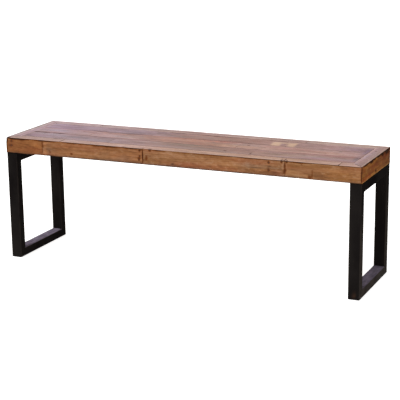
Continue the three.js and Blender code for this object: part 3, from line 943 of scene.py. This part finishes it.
# Marks on the front apron: X, Z, reach along and up, depth in mm, and darkness.
APRON_MARKS = [
    (-698, 466, 7, 12, 1.3, 1.2),
    (-699, 440, 5, 30, 0.3, 1.0),
    (-650, 473, 60, 5.5, 0.2, 1.3),
    (-530, 473, 60, 4.5, 0.2, 1.1),
    (-410, 473, 60, 3.8, 0.2, 0.9),
    (-270, 473, 80, 4.5, 0.2, 1.1),
    (-170, 473, 40, 4.5, 0.2, 1.1),
    (-60, 473, 40, 3.8, 0.2, 0.9),
    (120, 473, 120, 3.0, 0.2, 0.6),
    (300, 473, 60, 2.8, 0.2, 0.55),
    (480, 473, 50, 3.5, 0.2, 0.9),
    (-509, 432, 9, 14, 0.3, 0.36),
    (-107, 443, 6, 13, 0.9, 0.62),
    (-93, 471, 7, 5, 1.2, 1.0),
    (-134, 468, 6, 5, 0.6, 1.0),
    (-136, 438, 7, 8, 0.3, 0.6),
    (514, 424, 9, 5, 0.5, 0.55),
    (524, 434, 2, 17, 0.6, 0.6),
    (523, 417, 4, 3, 0.5, 0.9),
    (485, 465, 5, 3.5, 0.3, 0.42),
    (-195, 473, 9, 3, 1.2, 0.9),
    (-417, 431, 7, 5, 0.3, 0.72),
    (424, 456, 5, 14, 0.4, 0.85),
    (425, 439, 6, 15, 0.2, 0.68),
    (413, 470, 5, 6, 1.0, 1.0),
    (431, 471, 5, 5, 0.8, 0.9),
    (-122, 446, 3, 30, 0.6, 1.0),
    (-540, 458, 6, 15, 0.3, 0.55),
    (-541, 438, 5, 14, 0.2, 0.34),
    (699, 446, 2, 34, 0.2, 0.9),
]

# Tints on the front apron: X, Z, reach along and up, and what the colour is multiplied by.
APRON_TINTS = [
    # The first paints shade: a grey darkening along the bottom edge.
    (0, 415, 900, 6.5, (0.24, 0.27, 0.38)),
    (-676, 461, 10, 6, (0.45, 0.28, 0.15)),
    (-681, 445, 13, 6, (0.40, 0.24, 0.12)),
    (-620, 440, 45, 30, (0.88, 0.84, 0.75)),
    (-570, 448, 16, 24, (1.10, 1.04, 0.95)),
    (-529, 438, 6, 30, (1.25, 1.20, 1.15)),
    (-511, 436, 9, 18, (0.78, 0.82, 0.95)),
    (-275, 440, 26, 12, (0.86, 0.92, 1.00)),
    (-200, 430, 50, 16, (1.05, 0.97, 0.95)),
    (60, 425, 70, 12, (1.04, 0.92, 0.94)),
    (290, 450, 26, 11, (0.85, 0.93, 1.04)),
    (230, 440, 90, 40, (1.12, 1.08, 1.00)),
    (330, 430, 40, 14, (1.08, 1.00, 0.88)),
    (395, 428, 26, 10, (0.92, 0.78, 0.85)),
    (470, 445, 36, 40, (0.91, 0.98, 0.98)),
    (620, 440, 60, 22, (1.06, 1.02, 0.90)),
]

# Marks and tints on the end aprons, as for the front apron but with Y first.
APRON_END_MARKS = {
    "left": [(-173, 469, 5, 8, 1.3, 0.9)],
    "right": [
        (-7.5, 427, 6, 5, 0.6, 0.95),
        (-174, 446, 2, 34, 0.2, 0.9),
        (-130, 473, 24, 5, 0.4, 1.0),
        (-60, 472, 18, 8, 0.5, 1.3),
        (-20, 473, 12, 6, 0.8, 1.1),
        (30, 473, 26, 6, 0.4, 1.0),
        (75, 472, 16, 9, 0.8, 1.3),
        (132, 470, 28, 11, 0.6, 1.2),
    ],
}
APRON_END_TINTS = {
    "left": [],
    "right": [
        # Darker towards the back: painted shade.
        (140, 445, 140, 60, (0.55, 0.47, 0.40)),
        (-60, 440, 60, 14, (0.95, 1.05, 0.80)),
    ],
}
# The left end, in the key light, takes a paler, bluer tone that offsets the end wood's painted shade.
APRON_END_TONES = {"left": (0.88, 1.12, 1.95), "right": (1.05, 1.03, 0.90)}


def nail_marks():
    """A hollow and a stain round each nail."""
    marks = []
    for i in range(NAIL_COUNT):
        low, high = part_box(f"apron_nail_{i + 1}")
        x, z = (low[0] + high[0]) / 2 / MM, (low[2] + high[2]) / 2 / MM
        marks.append((x, z, NAIL_STAIN_REACH, NAIL_STAIN_REACH, NAIL_HOLLOW, 1.0))
    return marks


def make_aprons(material, end_material_with_shade):
    seed = APRON_SEED
    for side, sign in (("front", -1), ("back", 1)):
        for i, tone in enumerate(APRON_TONES[side]):
            node = f"apron_{side}_{i + 1}"
            low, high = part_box(node)
            # The long aprons' foot takes a line of painted shade.
            section = apron_section(low[1], high[1], low[2], sign, False)
            board = Board(node, "x", section, long_ends(node, sign), seed, "side")
            board.end_clean = 6.0
            board.wear = 0.5
            board.tones = [(0.0, tone)]
            if side == "front":
                dress(board, low, high, APRON_MARKS + nail_marks(), APRON_TINTS)
            board.build(material)
            seed += 1
    for side, sign in (("left", -1), ("right", 1)):
        node = f"apron_end_{side}"
        low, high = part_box(node)
        ends = (mitred_y(-1, sign), mitred_y(1, sign))
        board = Board(node, "y", apron_section(low[0], high[0], low[2], sign, True), ends, seed, "side")
        board.end_clean = 3.0
        board.tones = [(0.0, APRON_END_TONES[side])]
        dress(board, low, high, APRON_END_MARKS[side], APRON_END_TINTS[side])
        board.build(end_material_with_shade)
        seed += 1


def make_underside(ply, timber):
    """The core panel, cleats and battens under the seat: sawn pieces, seen only from below."""
    pieces = (
        ("core_panel", "x", ply, "plywood"),
        ("cleat_front", "x", timber, "raw_timber"),
        ("cleat_back", "x", timber, "raw_timber"),
        ("frame_batten_left", "y", timber, "raw_timber"),
        ("frame_batten_right", "y", timber, "raw_timber"),
        ("middle_batten", "y", timber, "raw_timber"),
    )
    for seed, (node, axis, material, slot) in enumerate(pieces, start=UNDERSIDE_SEED):
        low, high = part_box(node)
        side, run = (1, 0) if axis == "x" else (0, 1)
        corners = rectangle(low[side], low[2], high[side], high[2], (0.8 * MM,) * 4, (True,) * 4)
        section = Section(corners, (12 * MM, COARSE, COARSE, COARSE))
        board = Board(node, axis, section, (square(low[run]), square(high[run])), seed)
        board.spacing = 14 * MM
        board.build(material)


# --- Leg frames ----------------------------------------------------------------------------------

TUBE_CORNER = 3 * MM
TUBE_ENDS_CLOSE = 0.6 * MM
FLANGE_INSET = 22 * MM
PLATE_CORNER = 0.8 * MM

# Dust on top of each bottom rail, with the softbox's cool sheen painted in, stronger on the left; and the
# thin film on outward faces, which grows towards the floor, dust with painted light from the floor.
DUST_AND_SHEEN_ON_LEFT, DUST_AND_SHEEN_ON_RIGHT = 0.56, 0.35
FILM, RAIL_FILM = 0.09, 0.12
FILM_FROM, FILM_FULL = 330 * MM, 200 * MM

# A rusty scuff near the foot of the right front post.
SCUFF = Mark(679 * MM, 17 * MM, 4 * MM, 9 * MM, 0, 0.4)


def make_tube(side, kind, material):
    """One mitred tube of a loop; kind is a level of rail or a place of post."""
    is_post = kind in ("front", "back")
    node = f"{side}_{kind}_{'post' if is_post else 'rail'}"
    low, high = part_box(node)
    run = 2 if is_post else 1
    a, b = (run + 1) % 3, (run + 2) % 3
    corners = rectangle(low[a], low[b], high[a], high[b], (TUBE_CORNER,) * 4, (True,) * 4)
    section = Section(corners, (8 * MM,) * 4)
    depth = section.points[:, 1] if is_post else section.points[:, 0]
    nearest, farthest = (low[b], high[b]) if is_post else (low[a], high[a])
    faces_out_high = kind in ("back", "top")
    setback = farthest - depth if faces_out_high else depth - nearest
    fractions = stations(high[run] - low[run], (TUBE_ENDS_CLOSE, TUBE_ENDS_CLOSE), 12 * MM)[:, None]
    start, end = low[run] + setback, high[run] - setback
    along = start + fractions * (end - start)
    from_end = np.minimum(along - start, end - along)
    inset = 0.5 * round_off(from_end, TUBE_ENDS_CLOSE)
    place = [None, None, None]
    place[run] = along
    place[a] = section.points[:, 0] - section.normals[:, 0] * inset
    place[b] = section.points[:, 1] - section.normals[:, 1] * inset
    x, y, z = place
    stain, dust_and_sheen = np.zeros(along.shape), np.zeros(along.shape)
    sideways = section.normals[:, 0] if is_post else section.normals[:, 1]
    outwards = np.clip(sideways if side == "right" else -sideways, 0, 1)
    film = RAIL_FILM if kind == "bottom" else FILM
    # A pale film, lighter towards the floor: dust and painted light from the floor.
    dust_and_sheen += film * outwards * np.clip((FILM_FROM - z) / (FILM_FROM - FILM_FULL), 0, 1)
    if kind == "bottom":
        # Rail tops: dust and the softbox's painted sheen.
        facing_up = np.clip(section.normals[:, 0] * 1.6 - 0.6, 0, 1)
        dust_and_sheen += facing_up * (DUST_AND_SHEEN_ON_LEFT if side == "left" else DUST_AND_SHEEN_ON_RIGHT)
    if node == "right_front_post":
        facing_front = section.normals[:, 1] < -0.6
        stain += bell(x, z, SCUFF) * facing_front * SCUFF.dark
    free_edge = np.broadcast_to(section.from_free / MM, along.shape)
    attributes = {"free_edge": flat(free_edge), "stain": flat(stain), "dust_and_sheen": flat(dust_and_sheen)}
    vertices = np.stack(place, axis=-1).reshape(-1, 3)
    faces = loft_faces(*along.shape)
    mesh_piece(node, "tube", vertices, faces, material, attributes, 2)


def make_plate(side, material):
    """A mounting plate with softened edges: as wide as the tube, with a flange on its inner side."""
    node = f"{side}_mounting_plate"
    (x0, y0, z0), (x1, y1, z1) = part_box(node)
    tube_low, tube_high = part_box(f"{side}_front_post")
    tube_inner = tube_low[0] if side == "right" else tube_high[0]
    flange = y1 - FLANGE_INSET
    outer, inner = (x1, x0) if side == "right" else (x0, x1)
    outline = [(outer, y0), (outer, y1), (tube_inner, y1), (tube_inner, flange),
               (inner, flange), (inner, -flange), (tube_inner, -flange), (tube_inner, y0)]
    if side == "left":
        outline = outline[::-1]
    corners = [Corner(place, PLATE_CORNER, True) for place in outline]
    section = Section(corners, (20 * MM,) * 8)
    levels = (
        (z0, 0.4), (z0 + 0.12 * MM, 0.12), (z0 + 0.4 * MM, 0),
        (z1 - 0.4 * MM, 0), (z1 - 0.12 * MM, 0.12), (z1, 0.4),
    )
    rings = []
    for z, inset in levels:
        ring = section.points - section.normals * inset * MM
        rings.append(np.column_stack([ring, np.full(len(ring), z)]))
    vertices = np.concatenate(rings)
    count = len(vertices)
    attributes = {"free_edge": np.full(count, 5.0), "stain": np.zeros(count), "dust_and_sheen": np.zeros(count)}
    faces = loft_faces(len(levels), len(section.points))
    mesh_piece(node, "steel", vertices, faces, material, attributes, 2)


# --- Fasteners and glides ------------------------------------------------------------------------

def make_turned(node, suffix, profile, segments, axis, material, roughness=0.0, recess=None):
    """A piece turned about an axis through its CAD node's middle.

    profile: radius and height of each ring in metres, from the tip to the face, measured along axis
    from the middle of the node's box. recess gives the depth pressed into the face at a place on it;
    the face is all that stands within 0.1 mm of the top.
    """
    low, high = (Vector(corner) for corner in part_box(node))
    middle = (low + high) / 2
    axis = Vector(axis)
    side = axis.orthogonal().normalized()
    third = axis.cross(side)
    noise_seed = sum(ord(letter) for letter in node)
    face = profile[-1][1] - 0.1 * MM
    vertices = [middle + axis * profile[0][1]]
    for radius, height in profile[1:-1]:
        for k in range(segments):
            angle = 2 * math.pi * k / segments
            u, v = radius * math.cos(angle), radius * math.sin(angle)
            around = np.array([[math.cos(angle) * 1.7, math.sin(angle) * 1.7, height / MM]])
            scale = 1 - roughness * lattice_noise(around, noise_seed)[0]
            drop = recess(u, v) if recess and height > face else 0
            vertices.append(middle + (side * u + third * v) * scale + axis * (height - drop))
    drop = recess(0, 0) if recess else 0
    vertices.append(middle + axis * (profile[-1][1] - drop))
    rings = len(profile) - 2
    faces = [(0, 1 + (k + 1) % segments, 1 + k) for k in range(segments)]
    for j in range(rings - 1):
        for k in range(segments):
            a, b = 1 + j * segments + k, 1 + j * segments + (k + 1) % segments
            faces.append((a, b, b + segments, a + segments))
    last, first = len(vertices) - 1, 1 + (rings - 1) * segments
    faces += [(first + k, first + (k + 1) % segments, last) for k in range(segments)]
    mesh_piece(node, suffix, [tuple(v) for v in vertices], faces, material, {})


def make_nails(material):
    """Cut-nail heads a little below the boards' surface, rusted and out of round."""
    for i in range(NAIL_COUNT):
        node = f"apron_nail_{i + 1}"
        low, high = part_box(node)
        half = (high[1] - low[1]) / 2
        point = [(0, -half), (0.4 * MM, 1.5 * MM - half), (1.0 * MM, 4 * MM - half)]
        neck = [(1.1 * MM, half - 1.2 * MM), (1.5 * MM, half - 0.95 * MM)]
        rim = [(2.15 * MM, half - 0.75 * MM), (2.2 * MM, half - 0.4 * MM), (2.0 * MM, half - 0.12 * MM)]
        face = [(1.5 * MM, half - 0.05 * MM), (0.8 * MM, half - 0.02 * MM), (0, half)]
        profile = point + neck + rim + face
        make_turned(node, "iron", profile, 18, (0, -1, 0), material, roughness=0.16)


SCREW_HEAD = 3 * MM
SCREW_TURNS = 9


def cross_recess(u, v):
    """A cross-shaped driver recess, deepest in the middle."""
    arm, width, depth = 2.6 * MM, 0.55 * MM, 1.5 * MM
    reach = max(abs(u), abs(v))
    if min(abs(u), abs(v)) < width and reach < arm:
        return depth * (1 - reach / arm) + 0.25 * MM
    return 0


def make_screws(material):
    """Pan-head screws up through the flanges: a shank with a raised thread and a crossed head."""
    for side in ("left", "right"):
        for i in range(3):
            node = f"{side}_frame_screw_{i + 1}"
            low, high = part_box(node)
            half = (high[2] - low[2]) / 2
            neck = half - SCREW_HEAD
            profile = [(0, -half)]
            for k in range(SCREW_TURNS):
                height = 2.5 * MM - half + (neck + half - 3 * MM) * k / SCREW_TURNS
                root, crest = (1.9, 2.75) if k else (1.2, 1.8)
                profile += [(root * MM, height), (crest * MM, height + 0.8 * MM)]
            profile += [(2.0 * MM, neck - 0.8 * MM), (2.0 * MM, neck)]
            profile += [(5.3 * MM, neck), (5.5 * MM, neck + 0.25 * MM), (5.5 * MM, half - 1.8 * MM)]
            profile += [(5.2 * MM, half - 0.9 * MM), (4.5 * MM, half - 0.3 * MM)]
            face_radii = (3.9, 3.3, 2.7, 2.2, 1.8, 1.4, 1.0, 0.7, 0.4)
            profile += [(r * MM, half - 0.02 * r * MM) for r in face_radii]
            profile += [(0, half)]
            make_turned(node, "zinc", profile, 32, (0, 0, -1), material, recess=cross_recess)


def make_glides(material):
    """Thin nylon pads with a rounded rim and a shallow moulded ring."""
    for side in ("left", "right"):
        for place in ("front", "back"):
            node = f"{side}_{place}_glide"
            low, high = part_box(node)
            half, radius = (high[2] - low[2]) / 2, (high[0] - low[0]) / 2
            back = [(0, -half), (radius - 0.3 * MM, -half), (radius, 0.3 * MM - half)]
            rim = [(radius, half - 0.7 * MM), (radius - 0.2 * MM, half - 0.25 * MM)]
            groove_edges = ((0.8, 0.0), (4.0, 0.0), (4.5, 0.3), (5.5, 0.3), (6, 0.0))
            groove = [(radius - inward * MM, half - down * MM) for inward, down in groove_edges]
            profile = back + rim + groove + [(0, half)]
            make_turned(node, "pad", profile, 48, (0, 0, -1), material)


# --- Floor ---------------------------------------------------------------------------------------

FLOOR_HALF = 40


def lay_floor(material):
    """Staging under the glides: a square that reaches far beyond the picture."""
    corners = [(x * FLOOR_HALF, y * FLOOR_HALF, 0) for x, y in ((-1, -1), (1, -1), (1, 1), (-1, 1))]
    mesh = bpy.data.meshes.new("floor")
    mesh.from_pydata(corners, [], [(0, 1, 2, 3)])
    mesh.materials.append(material)
    floor = bpy.data.objects.new("floor", mesh)
    bpy.context.collection.objects.link(floor)


# --- The build -----------------------------------------------------------------------------------

place_camera()
light_studio()

SEAT_WOOD = wood("seat_boards", WoodLook(
    "865e4b", "6d4635", "4a2c20", "783e35", "6a5756", "9e7b72", "40221a", 0.36, 0.5, 0.5, 0.6))
BORDER_WOOD = wood("border_boards", WoodLook(
    "967260", "815e4d", "5f3e31", "895a53", "7d6a6a", "b89a8c", "47291c", 0.38, 0.5, 0.4, 1.2))
APRON_WOOD = wood("apron_boards", WoodLook(
    "835d3e", "6e4a28", "4a2d17", "734229", "6a5645", "8d705a", "532b0f", 0.6, 0.12, 0.55, 1.2))
# The end aprons' wood: a darker, more saturated copy of the apron wood, partly their own colour and partly
# painted shade for the right end, which faces away from the key light.
END_WOOD_WITH_SHADE = wood("apron_ends_with_shade", WoodLook(
    "895524", "6b3c12", "402107", "762f11", "5f4524", "98703a", "34180a", 0.7, 0.02, 0.55, 2.2))
TIMBER = wood("sawn_timber", WoodLook(
    "c9a06e", "b5895a", "8f683f", "b37f55", "a38f72", "d4b489", "5d3a1c", 0.75, 0.2, 0.5, 0.4))
PLYWOOD = wood("core_plywood", WoodLook(
    "c8a373", "b78e5c", "99703f", "b58759", "a8916c", "d4b489", "5d3a1c", 0.75, 0.2, 0.3, 0.4))
STEEL = black_steel()
NAIL_IRON = mottled("rusty_nail_iron", "1c110b", "452819", 900, 0.78, 0.0003, Metallic=0.1)
ZINC = mottled("zinc_plate", "a9aaad", "7c7d80", 240, 0.38, 0.00005, Metallic=1.0)
NYLON = mottled("glide_nylon", "191919", "2c2b2a", 500, 0.6, 0.0001)
FLOOR = mottled("pale_floor", "bcbcbc", "c0c0c0", 0.6, 0.85, 0.0001, Specular_IOR_Level=0.1,
                Emission_Color=(1, 1, 1, 1), Emission_Strength=0.84)

make_planks(SEAT_WOOD)
make_border(BORDER_WOOD)
make_aprons(APRON_WOOD, END_WOOD_WITH_SHADE)
make_underside(PLYWOOD, TIMBER)
for frame_side in ("left", "right"):
    for tube_kind in ("top", "bottom", "front", "back"):
        make_tube(frame_side, tube_kind, STEEL)
    make_plate(frame_side, STEEL)
make_nails(NAIL_IRON)
make_screws(ZINC)
make_glides(NYLON)

lay_floor(FLOOR)
